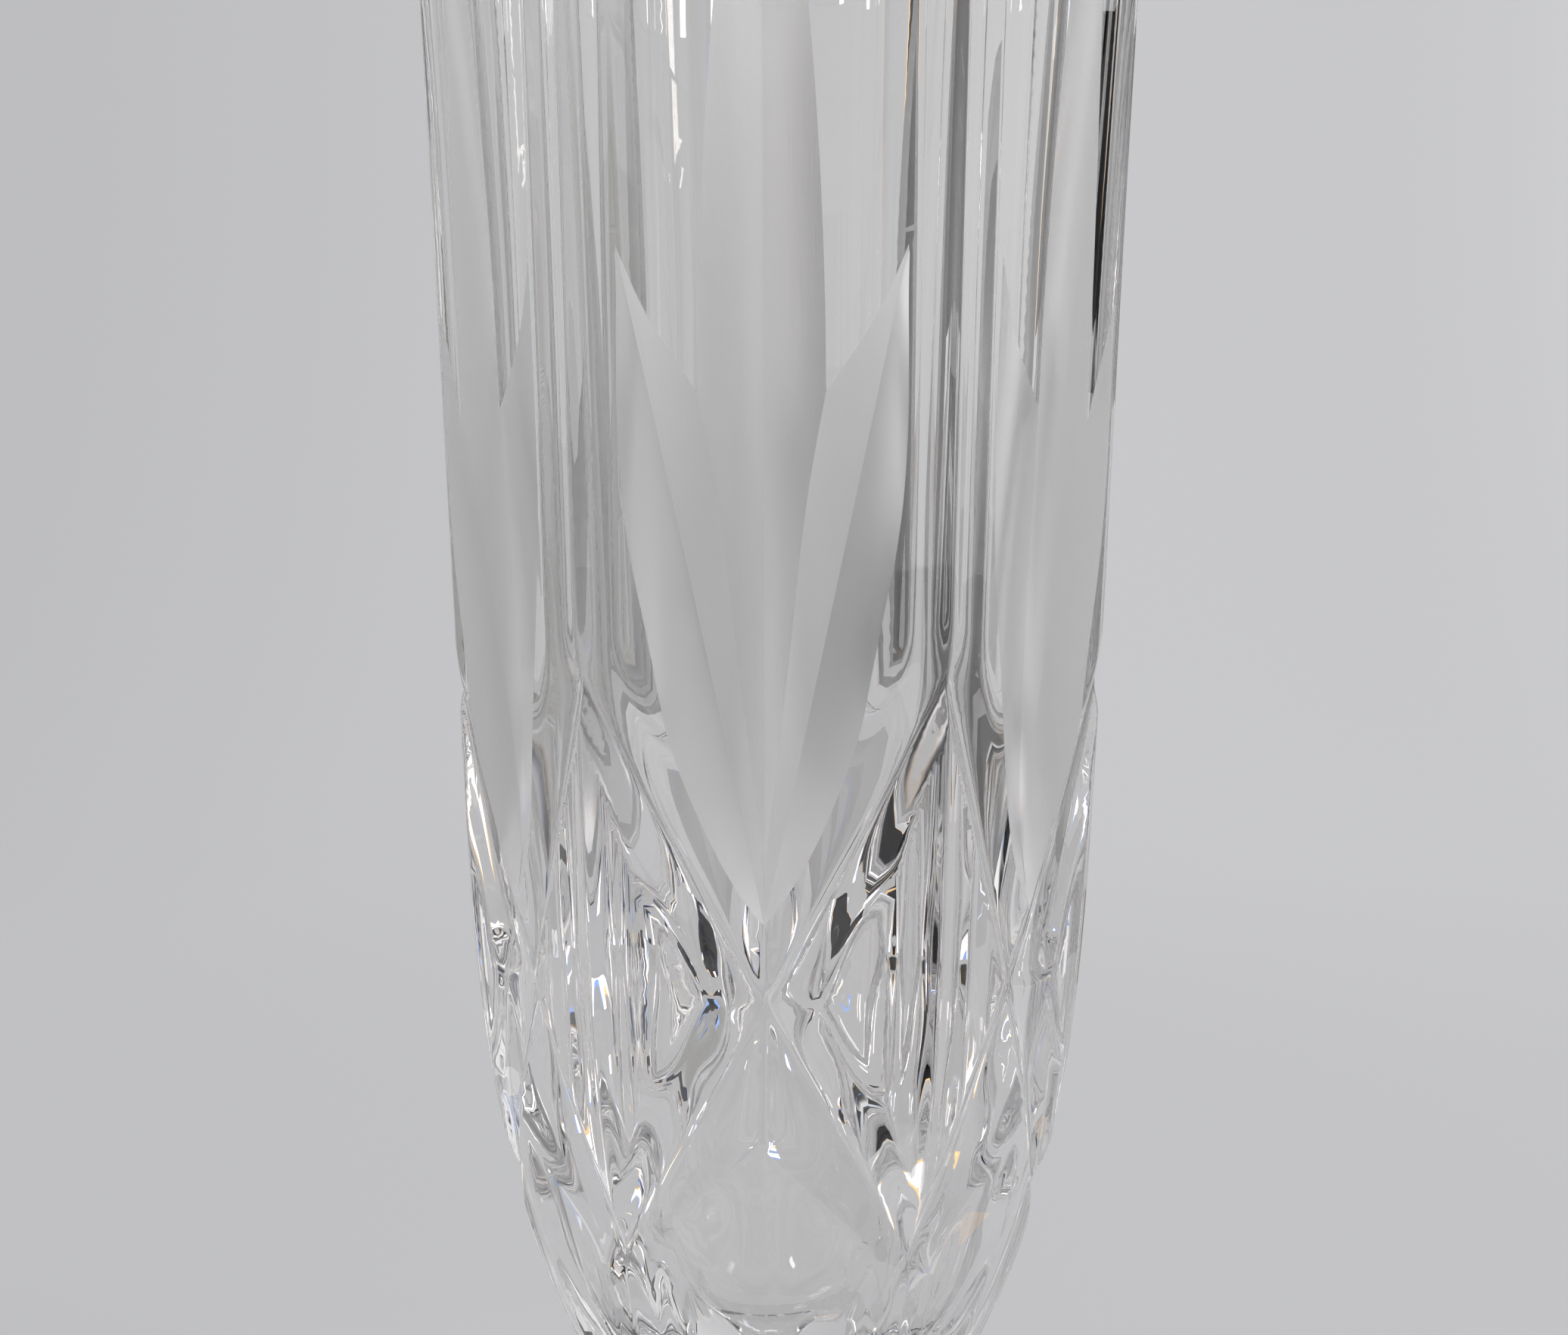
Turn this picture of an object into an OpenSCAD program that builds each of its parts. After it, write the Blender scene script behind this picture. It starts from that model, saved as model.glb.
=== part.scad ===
// Footed vase in cut crystal: a deeply cut bowl, a plain knop and a round foot.
// Units are mm, +Z is up, the vase stands on z = 0 and its axis is the Z axis.
// Six flat panels go round the bowl. Each one carries a fan of three V-cuts over a
// pair of crossed V-cuts, and a narrow upright V-cut parts it from the next panel.
// One panel faces -Y.

/* [Overall] */
// Height from the table to the rim
total_h = 275; // [240:1:310]
// Outer radius of the rim
rim_r = 52.5; // [48:0.5:58]
// Outer radius of the bowl at the shoulder, before cutting
shoulder_r = 42.5; // [38:0.5:46]
// Height of the shoulder, where the bowl starts to close in
shoulder_z = 120; // [110:1:130]
// Height at which the bowl sits on the knop
bowl_z = 27; // [24:0.5:32]
// Radius of the joint between bowl and knop
neck_r = 13.5; // [11:0.5:16]

/* [Bowl wall] */
// Height of the bottom of the cavity
cavity_z = 48; // [42:1:60]
// Cavity radius at the crossed cuts
cavity_low_r = 31; // [28:0.5:32]
// Height at which the cavity reaches that radius
cavity_low_z = 104; // [96:1:112]
// Cavity radius at the rim
mouth_r = 47.5; // [44:0.5:50]
// Bevel on both edges of the rim
rim_bevel = 1.2; // [0.5:0.1:2]

/* [Panels] */
// Number of panels round the bowl
panels = 6; // [6:1:6]
// Distance from axis to panel, as a share of the bowl radius
panel_share = 0.92; // [0.9:0.005:0.95]
// Height at which the panels start to fade into the round rim
panel_fade_z = 246; // [236:1:256]
// Height at which the panels are gone at the top
panel_top_z = 268; // [258:1:272]
// Height at which the panels are gone at the bottom
panel_low_z = 34; // [30:1:44]

/* [Cuts] */
// Slope of each side of a V-cut against the panel, in degrees
cut_slope = 30; // [25:1:40]
// Height of the point where the three fan cuts start
fan_z = 109.5; // [104:0.5:114]
// Depth of the fan cuts where they start
fan_start_depth = 0.4; // [0.3:0.1:0.8]
// Half width of the middle cut of the fan at its widest
lance_half_w = 5.77; // [4.5:0.05:6.5]
// Length of the middle cut of the fan
lance_len = 130.5; // [110:0.5:140]
// Distance from the start to the widest place of the middle cut
lance_peak = 61.5; // [50:0.5:75]
// Half width of the outer cuts of the fan at their widest
leaf_half_w = 6.25; // [5:0.05:7]
// Length of the outer cuts of the fan
leaf_len = 87; // [70:0.5:90]
// Distance from the start to the widest place of the outer cuts
leaf_peak = 42; // [30:0.5:50]
// Lean of the outer cuts of the fan
leaf_lean = 12.15; // [10:0.05:15]
// Height of the place where the crossed cuts meet
cross_z = 99.8; // [94:0.2:104]
// Depth of the crossed cuts below the panel
cross_depth = 2.9; // [2:0.1:3.5]
// Lean of the crossed cuts
cross_lean = 29.6; // [25:0.1:35]
// Half width of the upright ribs between the panels
column_half_w = 2.1; // [1.5:0.1:4]
// Height at which the upright ribs run out at the top
column_top_z = 262; // [250:1:270]
// Height at which the upright ribs run out at the bottom
column_low_z = 40; // [36:1:50]

/* [Knop and foot] */
// Radius of the knop
knop_r = 17; // [14:0.5:20]
// Height at which the knop sits on the foot
knop_z = 14; // [12:0.5:18]
// Radius of the joint between knop and foot
stem_r = 10.5; // [9:0.5:13]
// Radius of the foot
foot_r = 38.5; // [34:0.5:42]
// Thickness of the foot at its edge
foot_edge = 4; // [3:0.5:6]
// Bevel on the edge of the foot
foot_bevel = 1.2; // [0.5:0.1:2]
// Radius of the hollow ground into the underside
hollow_r = 27; // [20:0.5:32]
// Depth of the hollow ground into the underside
hollow_depth = 1.6; // [0.5:0.1:3]

/* [View] */
// Piece to build

/* [Hidden] */
$fn = 96;
crystal = [0.90, 0.91, 0.92, 0.45];
low_steps = 7;
high_steps = 6;
cavity_steps = 8;
fan_steps = 6;
cross_steps = 5;
pitch = 360 / panels;
front = -90;
margin = 12;
reach = rim_r;
cut_rise = tan(cut_slope);
run_in = 3;
clear = 0.3;
panel_clear = 1.02;
run_in_slope = 0.5;
start_power = 6;
lance_power = 1;
leaf_power = 1.7;
step_power = 1.6;
column_slope = 20;
column_root = 2.2;
column_fade = 14;
panel_low_fade = 12;
cross_half_span = 22;
cross_reach = cross_half_span / sin(cross_lean);
low_pull = [5.6, 28.6];
high_pull = [2.1, 33.7];
wall_pull = [3.3, 52];
lip_pull = [4.7, 47];
floor_pull = 11;
side_pull = [2.5, 18];
cavity_pull = [1.5, 46];
mouth_pull = [11, 60];

// Point on a cubic curve through the ends p[0] and p[3]
function curve(p, t) =
    pow(1 - t, 3) * p[0] + 3 * pow(1 - t, 2) * t * p[1]
    + 3 * (1 - t) * t * t * p[2] + pow(t, 3) * p[3];

// Outline of the bowl before cutting, as [radius, height]
low_curve = [
    [neck_r, bowl_z],
    [shoulder_r - low_pull[0], bowl_z + low_pull[1]],
    [shoulder_r - high_pull[0], shoulder_z - high_pull[1]],
    [shoulder_r, shoulder_z],
];
high_curve = [
    [shoulder_r, shoulder_z],
    [shoulder_r + wall_pull[0], shoulder_z + wall_pull[1]],
    [rim_r - lip_pull[0], total_h - lip_pull[1]],
    [rim_r, total_h],
];
outline = concat(
    [for (i = [0 : low_steps]) curve(low_curve, i / low_steps)],
    [for (i = [1 : high_steps]) curve(high_curve, i / high_steps)]
);
outline_table = [for (p = outline) [p[1], p[0]]];
function bowl_r(z) = lookup(z, outline_table);

// Heights at the given part of the way between the points of the outline
function between(part) = [
    for (i = [1 : len(outline) - 1])
        outline[i - 1][1] + part * (outline[i][1] - outline[i - 1][1])
];

// Cavity outline, as [radius, height]
cavity_low = [
    [0, cavity_z],
    [cavity_low_r - floor_pull, cavity_z],
    [cavity_low_r - side_pull[0], cavity_z + side_pull[1]],
    [cavity_low_r, cavity_low_z],
];
cavity_high = [
    [cavity_low_r, cavity_low_z],
    [cavity_low_r + cavity_pull[0], cavity_low_z + cavity_pull[1]],
    [mouth_r - mouth_pull[0], total_h - mouth_pull[1]],
    [mouth_r, total_h],
];
cavity = concat(
    [for (i = [0 : cavity_steps]) curve(cavity_low, i / cavity_steps)],
    [for (i = [1 : cavity_steps]) curve(cavity_high, i / cavity_steps)]
);

cavity_table = [for (p = cavity) [p[1], p[0]]];
function cavity_r(z) = lookup(z, cavity_table);

// Share of the bowl radius at which the panel lies, over 1 where the panel is gone
function fade(z, gone, full) = min(1, max(0, (z - gone) / (full - gone)));
function share(z) =
    panel_clear - (panel_clear - panel_share) * min(
        fade(z, panel_low_z, panel_low_z + panel_low_fade),
        fade(z, panel_top_z, panel_fade_z)
    );
panel_z = concat(
    [bowl_z - margin],
    [for (z = between(0.4)) if (z < panel_fade_z) z],
    [panel_fade_z, panel_top_z, total_h + margin]
);
panel_table = [for (z = panel_z) [z, bowl_r(z) * share(z)]];
function panel_r(z) = lookup(z, panel_table);

// Depth of a fan cut at distance u from its start
function start_part(u, peak, deep) =
    fan_start_depth + (deep - fan_start_depth) * (1 - pow((peak - u) / peak, start_power));
function end_part(u, peak, len, power) =
    pow(max(0, 1 - pow((u - peak) / (len - peak), 2)), power);
function fan_depth(u, peak, len, half_w, power) =
    u < 0 ? fan_start_depth + u * run_in_slope
    : u < peak ? start_part(u, peak, half_w * cut_rise)
    : (half_w * cut_rise + clear) * end_part(u, peak, len, power) - clear;

// Valley of a fan cut, as [distance from the start, distance from the axis]
function fan_valley(lean, peak, len, half_w, power) = concat(
    [[-run_in, fan_s(-run_in, lean, peak, len, half_w, power)]],
    [for (i = [1 : fan_steps]) let (u = peak * pow(i / fan_steps, step_power))
        [u, fan_s(u, lean, peak, len, half_w, power)]],
    [for (i = [1 : fan_steps]) let (u = peak + (len - peak) * i / fan_steps)
        [u, fan_s(u, lean, peak, len, half_w, power)]]
);
function fan_s(u, lean, peak, len, half_w, power) =
    panel_r(fan_z + u * cos(lean)) - fan_depth(u, peak, len, half_w, power);

// Valley of a crossed cut, along its own length
function cross_s(u) = panel_r(cross_z + u * cos(cross_lean)) - cross_depth;
cross_valley = [
    for (i = [-cross_steps : cross_steps - 1])
        let (u = cross_reach * (2 * i + 1) / (2 * cross_steps - 1))
            [u, cross_s(u)]
];

// Crest of an upright rib between two panels
column_height = column_half_w * tan(column_slope);
column_z = concat(
    [column_low_z, column_low_z + column_fade],
    [for (z = between(0.6)) if (z > column_low_z + 1.3 * column_fade
        && z < column_top_z - 1.3 * column_fade) z],
    [column_top_z - column_fade, column_top_z]
);
function column_s(z) =
    bowl_r(z) - clear + (column_height + clear) * min(
        fade(z, column_low_z, column_low_z + column_fade),
        fade(z, column_top_z, column_top_z - column_fade)
    );
column_crest = [for (z = column_z) [z, column_s(z)]];

// One side of a V-cut: a prism above the plane that leans to this side
module cut_side(valley, slope, side) {
    first = valley[0][0];
    last = valley[len(valley) - 1][0];
    rotate([0, 0, side * slope])
    rotate([90, 0, 0])
    linear_extrude(height = 2 * reach, center = true)
    polygon(concat(
        [for (p = valley) [p[1] * cos(slope), p[0]]],
        [[rim_r + margin, last], [rim_r + margin, first]]
    ));
}

// V-cut along +Z at the front of the +X axis
module v_cut(valley, slope) {
    intersection() {
        cut_side(valley, slope, 1);
        cut_side(valley, slope, -1);
    }
}

// One side of a rib: a slab under the plane that leans to this side
module rib_side(crest, slope, side) {
    rotate([0, 0, side * slope])
    rotate([90, 0, 0])
    linear_extrude(height = 2 * reach, center = true)
    polygon(concat(
        [for (p = crest) [p[1] * cos(slope), p[0]]],
        [for (i = [len(crest) - 1 : -1 : 0])
            [crest[i][1] * cos(slope) - column_root, crest[i][0]]]
    ));
}

// Low upright rib along +Z at the front of the +X axis
module rib(crest, slope) {
    intersection() {
        rib_side(crest, slope, 1);
        rib_side(crest, slope, -1);
    }
}

module fan_cut(lean, peak, len, half_w, power) {
    translate([0, 0, fan_z])
    rotate([lean, 0, 0])
    v_cut(fan_valley(lean, peak, len, half_w, power), cut_slope);
}

module cross_cut(lean) {
    translate([0, 0, cross_z])
    rotate([lean, 0, 0])
    v_cut(cross_valley, cut_slope);
}

module panel_cuts() {
    fan_cut(0, lance_peak, lance_len, lance_half_w, lance_power);
    for (side = [-1, 1]) {
        fan_cut(side * leaf_lean, leaf_peak, leaf_len, leaf_half_w, leaf_power);
        cross_cut(side * cross_lean);
    }
}

// Slab between two opposite panels
module panel_slab(i) {
    rotate([90, 0, front + i * pitch])
    linear_extrude(height = 2 * (rim_r + margin), center = true)
    polygon(concat(
        [for (p = panel_table) [p[1], p[0]]],
        [for (i = [len(panel_table) - 1 : -1 : 0]) [-panel_table[i][1], panel_table[i][0]]]
    ));
}

module bowl_blank() {
    inner = [for (i = [len(cavity) - 2 : -1 : 0]) cavity[i]];
    outer = [for (i = [0 : len(outline) - 2]) outline[i]];
    rotate_extrude()
    polygon(concat(
        [[0, bowl_z]],
        outer,
        [[bowl_r(total_h - rim_bevel), total_h - rim_bevel]],
        [[rim_r - rim_bevel, total_h]],
        [[mouth_r + rim_bevel, total_h]],
        [[cavity_r(total_h - rim_bevel), total_h - rim_bevel]],
        inner
    ));
}

module bowl() {
    color(crystal)
    difference() {
        union() {
            intersection() {
                rotate([0, 0, front]) bowl_blank();
                panel_slab(0);
                panel_slab(1);
                panel_slab(2);
            }
            for (i = [0 : panels - 1])
                rotate([0, 0, front + (i + 0.5) * pitch]) rib(column_crest, column_slope);
        }
        for (i = [0 : panels - 1])
            rotate([0, 0, front + i * pitch]) panel_cuts();
    }
}

module knop() {
    rise = bowl_z - knop_z;
    color(crystal)
    rotate_extrude()
    polygon([
        [0, knop_z],
        [stem_r, knop_z],
        [stem_r + 2.6, knop_z + 0.12 * rise],
        [knop_r - 1.6, knop_z + 0.26 * rise],
        [knop_r - 0.3, knop_z + 0.42 * rise],
        [knop_r, knop_z + 0.55 * rise],
        [knop_r - 0.5, knop_z + 0.70 * rise],
        [knop_r - 1.7, knop_z + 0.86 * rise],
        [neck_r, bowl_z],
        [0, bowl_z],
    ]);
}

module foot() {
    color(crystal)
    rotate_extrude()
    polygon([
        [0, hollow_depth],
        [hollow_r * 0.55, hollow_depth * 0.72],
        [hollow_r, 0],
        [foot_r - foot_bevel, 0],
        [foot_r, foot_bevel],
        [foot_r, foot_edge],
        [foot_r - foot_bevel, foot_edge + foot_bevel],
        [foot_r * 0.72, foot_edge + 2.3],
        [foot_r * 0.46, foot_edge + 4.6],
        [stem_r + 2.2, knop_z - 2.6],
        [stem_r, knop_z],
        [0, knop_z],
    ]);
}

bowl();
knop();
foot();
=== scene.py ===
import math

import bpy
import numpy as np
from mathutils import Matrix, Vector
from mathutils.geometry import delaunay_2d_cdt


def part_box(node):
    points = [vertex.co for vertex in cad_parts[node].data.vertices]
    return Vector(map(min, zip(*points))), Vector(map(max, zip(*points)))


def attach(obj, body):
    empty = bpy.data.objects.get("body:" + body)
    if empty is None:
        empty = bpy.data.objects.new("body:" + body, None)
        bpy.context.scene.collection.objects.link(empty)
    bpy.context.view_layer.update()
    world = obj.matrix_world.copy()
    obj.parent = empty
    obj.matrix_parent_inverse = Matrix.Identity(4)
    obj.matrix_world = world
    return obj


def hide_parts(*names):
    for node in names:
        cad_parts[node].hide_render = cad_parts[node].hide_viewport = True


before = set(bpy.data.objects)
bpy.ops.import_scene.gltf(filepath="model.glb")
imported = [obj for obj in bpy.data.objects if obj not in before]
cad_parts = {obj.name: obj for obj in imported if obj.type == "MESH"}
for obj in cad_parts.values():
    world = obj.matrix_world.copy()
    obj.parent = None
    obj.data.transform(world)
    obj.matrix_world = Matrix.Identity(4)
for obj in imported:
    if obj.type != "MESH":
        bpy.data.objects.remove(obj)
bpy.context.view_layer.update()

# ---------------------------------------------------------------- sizes, in mm
BOWL_LO, BOWL_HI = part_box("bowl")
KNOP_LO, KNOP_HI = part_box("knop")
FOOT_LO, FOOT_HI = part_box("foot")
TOTAL_H = 275.0
MM = (BOWL_HI.z - FOOT_LO.z) / TOTAL_H  # one millimetre, in the frame's metres
BOWL_Z = BOWL_LO.z / MM
KNOP_Z = KNOP_LO.z / MM
RIM_R = BOWL_HI.x / MM
FOOT_R = FOOT_HI.x / MM
KNOP_R = KNOP_HI.x / MM

# The turned blank that is cut, and the hollow in it
SHOULDER_R, SHOULDER_Z = 42.5, 120.0
NECK_R = 13.5
STEM_R = 10.5
MOUTH_R = 47.5
CAVITY_Z = 48.0
CAVITY_R, CAVITY_R_Z = 31.0, 104.0
RIM_BEVEL = 1.2
RIM_TUCK = 0.92  # share of the bevel that keeps the rounded rim inside the outline

# The flat panels, at a share of the blank's radius. At PANEL_CLEAR a panel is outside the glass.
PANELS = 6
SECTOR = math.pi / PANELS  # the angle of half a panel
FRONT = -math.pi / 2  # the direction of the first panel's middle
PANEL_SHARE = 0.92
PANEL_CLEAR = 1.02
PANEL_FADE_Z, PANEL_TOP_Z = 246.0, 268.0
PANEL_LOW_Z, PANEL_LOW_FADE = 34.0, 12.0

# The satin V-cuts of the fan: one upright lance between two leaning leaves.
# A cut starts at FAN_Z, FAN_START deep. It is deepest at peak and runs out at length, both
# measured along it from there.
CUT_RISE = math.tan(math.radians(30))
FAN_Z, FAN_START = 109.5, 0.4
LANCE = dict(lean=0.0, peak=61.5, length=130.5, half_w=5.77, power=1.0)
LEAF = dict(lean=math.radians(12.15), peak=42.0, length=87.0, half_w=6.25, power=1.7)
START_POWER = 6  # how soon a cut reaches its full depth
BEFORE_START, PAST_TIP = 0.5, 0.1  # slopes that take the valley out of the glass past both ends

# The two polished V-cuts that cross under the fan
CROSS_Z, CROSS_DEPTH, CROSS_LEAN = 99.8, 2.9, math.radians(29.6)

# The low upright rib between two panels
RIB_HALF_W, RIB_RISE = 2.1, math.tan(math.radians(20))
RIB_TOP_Z, RIB_LOW_Z, RIB_FADE = 262.0, 40.0, 14.0

# How far the polish rounds the edges and the valleys
EDGE_SOFT = 0.8
PANEL_SOFT = 0.35
CROSS_SOFT = 0.7
RIB_SOFT = 0.4

# The unevenness of the blown inner wall: upright folds all round, level waves low down and all
# over. A pitch is the height in which a wave turns through one radian.
FOLD_FINE, FOLD_WIDE = 0.16, 0.10
WAVE_LOW, WAVE_LOW_PITCH = 0.2, 3.1
WAVE_ALL, WAVE_ALL_PITCH = 0.06, 7.3

CLEAR = 0.3  # distance from the glass at which a cut or a rib has ended
GROOVE_ROUNDS = 9  # rounds that settle a groove's radius

# The wall is meshed laid out flat: x is the angle from a panel's middle times FLAT_SCALE.
FLAT_SCALE = 42.0
HALF_W = SECTOR * FLAT_SCALE
WALL_LO, WALL_HI = BOWL_Z, TOTAL_H - RIM_BEVEL
RING_STEPS = 13  # steps round the rim of half a panel
RING_N = RING_STEPS * 2 * PANELS
FAN_SPAN = (95, 250)  # heights between which the fan's edges lie
CROSSING_SPAN = (90, 110)  # heights between which the two crossed cuts meet
DENSE_SPAN = (80, 112)  # heights between which the panel's middle has closer points
ROW_STEP, FILL_STEP = 1.3, 1.35
# Points along a crossed cut: their step, how far they go, and the angle kept free at the borders
ARM_STEP, ARM_REACH, ARM_BORDER = 1.1, 45, 0.004
FIRST_R, ARM_ROUNDS = 40, 8  # a first radius for such a point, and the rounds that settle it
HALVINGS = 16  # halvings that find where a line crosses a grid's edge
SLIVER = 1e-7  # a triangle with less doubled area is left out
SNAP = 1e-3  # a point nearer to a border than this is on it

# The least distances between points of the flat layout
EDGE_GAP, CROSSING_GAP, LINE_GAP = 0.12, 0.25, 0.14
BORDER_GAP, DENSE_GAP, ARM_GAP, FILL_GAP = 0.5, 0.4, 0.32, 0.72

# Looks that a triangle of the wall can have. A leaf has one face near the panel's middle and
# one far from it, and the lance's other face is in the mirrored half.
POLISHED, LANCE_FACE, LEAF_FAR, LEAF_NEAR = 0, 1, 2, 3
LOOKS = 4
GRAIN_STEP = 7.0  # keeps the grain of one half panel apart from the next

# Rows down the cavity, and the radius under which its floor closes to a point
CAVITY_ROWS, POLE_R = 100, 4


# ---------------------------------------------------------------- profiles
def bezier(points, n=1200):
    """Points along a cubic curve, given its start, its two handles and its end."""
    p = np.array(points, float)
    t = np.linspace(0, 1, n)[:, None]
    return ((1 - t) ** 3 * p[0] + 3 * (1 - t) ** 2 * t * p[1]
            + 3 * (1 - t) * t * t * p[2] + t ** 3 * p[3])


OUTLINE = np.vstack([
    bezier([(NECK_R, BOWL_Z), (SHOULDER_R - 5.6, BOWL_Z + 28.6),
            (SHOULDER_R - 2.1, SHOULDER_Z - 33.7), (SHOULDER_R, SHOULDER_Z)]),
    bezier([(SHOULDER_R, SHOULDER_Z), (SHOULDER_R + 3.3, SHOULDER_Z + 52),
            (RIM_R - 4.7, TOTAL_H - 47), (RIM_R, TOTAL_H)])[1:],
])
CAVITY = np.vstack([
    bezier([(0, CAVITY_Z), (CAVITY_R - 11, CAVITY_Z),
            (CAVITY_R - 2.5, CAVITY_Z + 18), (CAVITY_R, CAVITY_R_Z)]),
    bezier([(CAVITY_R, CAVITY_R_Z), (CAVITY_R + 1.5, CAVITY_R_Z + 46),
            (MOUTH_R - 11, TOTAL_H - 60), (MOUTH_R, TOTAL_H)])[1:],
])


def outline_r(z):
    return np.interp(z, OUTLINE[:, 1], OUTLINE[:, 0])


def cavity_r(z):
    return np.interp(z, CAVITY[:, 1], CAVITY[:, 0])


def ramp(z, gone, full):
    """0 at the height gone, 1 at the height full, straight between them."""
    return np.clip((z - gone) / (full - gone), 0, 1)


def panel_r(z):
    """Distance of a panel's plane from the axis."""
    part = np.minimum(ramp(z, PANEL_LOW_Z, PANEL_LOW_Z + PANEL_LOW_FADE),
                      ramp(z, PANEL_TOP_Z, PANEL_FADE_Z))
    return outline_r(z) * (PANEL_CLEAR - (PANEL_CLEAR - PANEL_SHARE) * part)


def rib_r(z):
    """Radius of a rib's crest."""
    part = np.minimum(ramp(z, RIB_LOW_Z, RIB_LOW_Z + RIB_FADE),
                      ramp(z, RIB_TOP_Z, RIB_TOP_Z - RIB_FADE))
    height = RIB_HALF_W * RIB_RISE
    return outline_r(z) - CLEAR + (height + CLEAR) * part


def fan_depth(u, peak, length, half_w, power):
    """Depth of a fan cut's valley under the panel, at the distance u along it."""
    deep = half_w * CUT_RISE
    rise = 1 - ((peak - np.clip(u, 0, peak)) / peak) ** START_POWER
    start = FAN_START + (deep - FAN_START) * rise
    part = np.clip(1 - ((u - peak) / (length - peak)) ** 2, 0, None) ** power
    end = (deep + CLEAR) * part - CLEAR - PAST_TIP * np.clip(u - length, 0, None)
    return np.where(u < 0, FAN_START + u * BEFORE_START, np.where(u < peak, start, end))


def soft_min(a, b, k):
    """The lesser of a and b, rounded over where they are within k of each other."""
    h = np.clip(k - np.abs(a - b), 0, None) / k
    return np.minimum(a, b) - h * h * k / 4


def groove(phi, z, lean, z0, valley, soft):
    """Radius of a straight V-cut's surface, and the distances across and along it."""
    c, s = np.cos(phi), np.sin(phi)
    cl, sl = math.cos(lean), math.sin(lean)
    r = panel_r(z) / c
    for _ in range(GROOVE_ROUNDS):
        y = r * s
        along = (z - z0) * cl + y * sl
        across = y * cl - (z - z0) * sl
        r = (valley(along) + CUT_RISE * np.sqrt(across * across + soft * soft)) / c
    return r, across, along


def fan_groove(phi, z, cut):
    lean = cut["lean"]

    def valley(u):
        deep = fan_depth(u, cut["peak"], cut["length"], cut["half_w"], cut["power"])
        return panel_r(FAN_Z + u * math.cos(lean)) - deep

    return groove(phi, z, lean, FAN_Z, valley, 0.0)


def cross_groove(phi, z, side):
    lean = side * CROSS_LEAN

    def valley(u):
        return panel_r(CROSS_Z + u * math.cos(lean)) - CROSS_DEPTH

    return groove(phi, z, lean, CROSS_Z, valley, CROSS_SOFT)[0]


def wall(phi, z):
    """The outer wall at the angle phi from a panel's middle: its radius, and each surface's.

    body is all that is polished, with the crossed cuts arm_a and arm_b in it. satin is the
    lance and the leaf, and t and u are the distances across and along each of them.
    """
    turned = SECTOR - phi
    width = np.sqrt((np.sin(turned)) ** 2 + (RIB_SOFT / FLAT_SCALE) ** 2)
    rib = rib_r(z) / (np.cos(turned) + width * RIB_RISE)
    body = soft_min(outline_r(z), panel_r(z) / np.cos(phi), PANEL_SOFT)
    arm_a, arm_b = cross_groove(phi, z, 1), cross_groove(phi, z, -1)
    body = -soft_min(-body, -rib, PANEL_SOFT)
    body = soft_min(body, arm_a, EDGE_SOFT)
    body = soft_min(body, arm_b, EDGE_SOFT)
    lance, lance_t, lance_u = fan_groove(phi, z, LANCE)
    leaf, leaf_t, leaf_u = fan_groove(phi, z, LEAF)
    satin = np.minimum(lance, leaf)
    return dict(r=np.minimum(body, satin), body=body, satin=satin, lance=lance, leaf=leaf,
                lance_t=lance_t, lance_u=lance_u, leaf_t=leaf_t, leaf_u=leaf_u,
                arm_a=arm_a, arm_b=arm_b)


def ripple(angle, z):
    """How far the inner wall strays from its profile. It dies out at the rim and the floor."""
    turn = angle - FRONT
    window = ramp(z, CAVITY_Z + 1, CAVITY_Z + 16) * ramp(z, TOTAL_H - 4, TOTAL_H - 40)
    folds = FOLD_FINE * np.cos(2 * PANELS * turn) + FOLD_WIDE * np.cos(5 * turn + 1.3)
    low = ramp(z, 130, 84)
    phase = z / WAVE_LOW_PITCH + 1.7 * np.cos(PANELS * turn + 0.3) + 0.8 * np.sin(2 * turn)
    waves = WAVE_LOW * low * np.sin(phase) + WAVE_ALL * np.sin(z / WAVE_ALL_PITCH + 2 * turn)
    return window * (folds + waves)


# ---------------------------------------------------------------- half a panel, laid out flat
class Layout:
    """Points and kept edges of the flat layout. A point too near an old one becomes that one."""

    def __init__(self, cell=1.0):
        self.cell, self.grid, self.points, self.edges = cell, {}, [], set()

    def near(self, x, z, gap):
        i, j = int(x // self.cell), int(z // self.cell)
        n = int(gap // self.cell) + 1
        for a in range(i - n, i + n + 1):
            for b in range(j - n, j + n + 1):
                for k in self.grid.get((a, b), ()):
                    px, pz = self.points[k]
                    if (px - x) ** 2 + (pz - z) ** 2 < gap * gap:
                        return k
        return None

    def add(self, x, z, gap=1e-6):
        found = self.near(x, z, gap)
        if found is not None:
            return found
        self.points.append((float(x), float(z)))
        key = (int(x // self.cell), int(z // self.cell))
        self.grid.setdefault(key, []).append(len(self.points) - 1)
        return len(self.points) - 1

    def line(self, points, gap, merge=True):
        """Joins points by kept edges. None breaks the line, and so does an old point if not merge."""
        last = None
        for point in points:
            if point is None:
                last = None
                continue
            count = len(self.points)
            here = self.add(*point, gap)
            usable = merge or len(self.points) > count
            if usable and last is not None and last != here:
                self.edges.add((min(last, here), max(last, here)))
            last = here if usable else None


def at(x, z):
    return wall(x / FLAT_SCALE, z)


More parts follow.
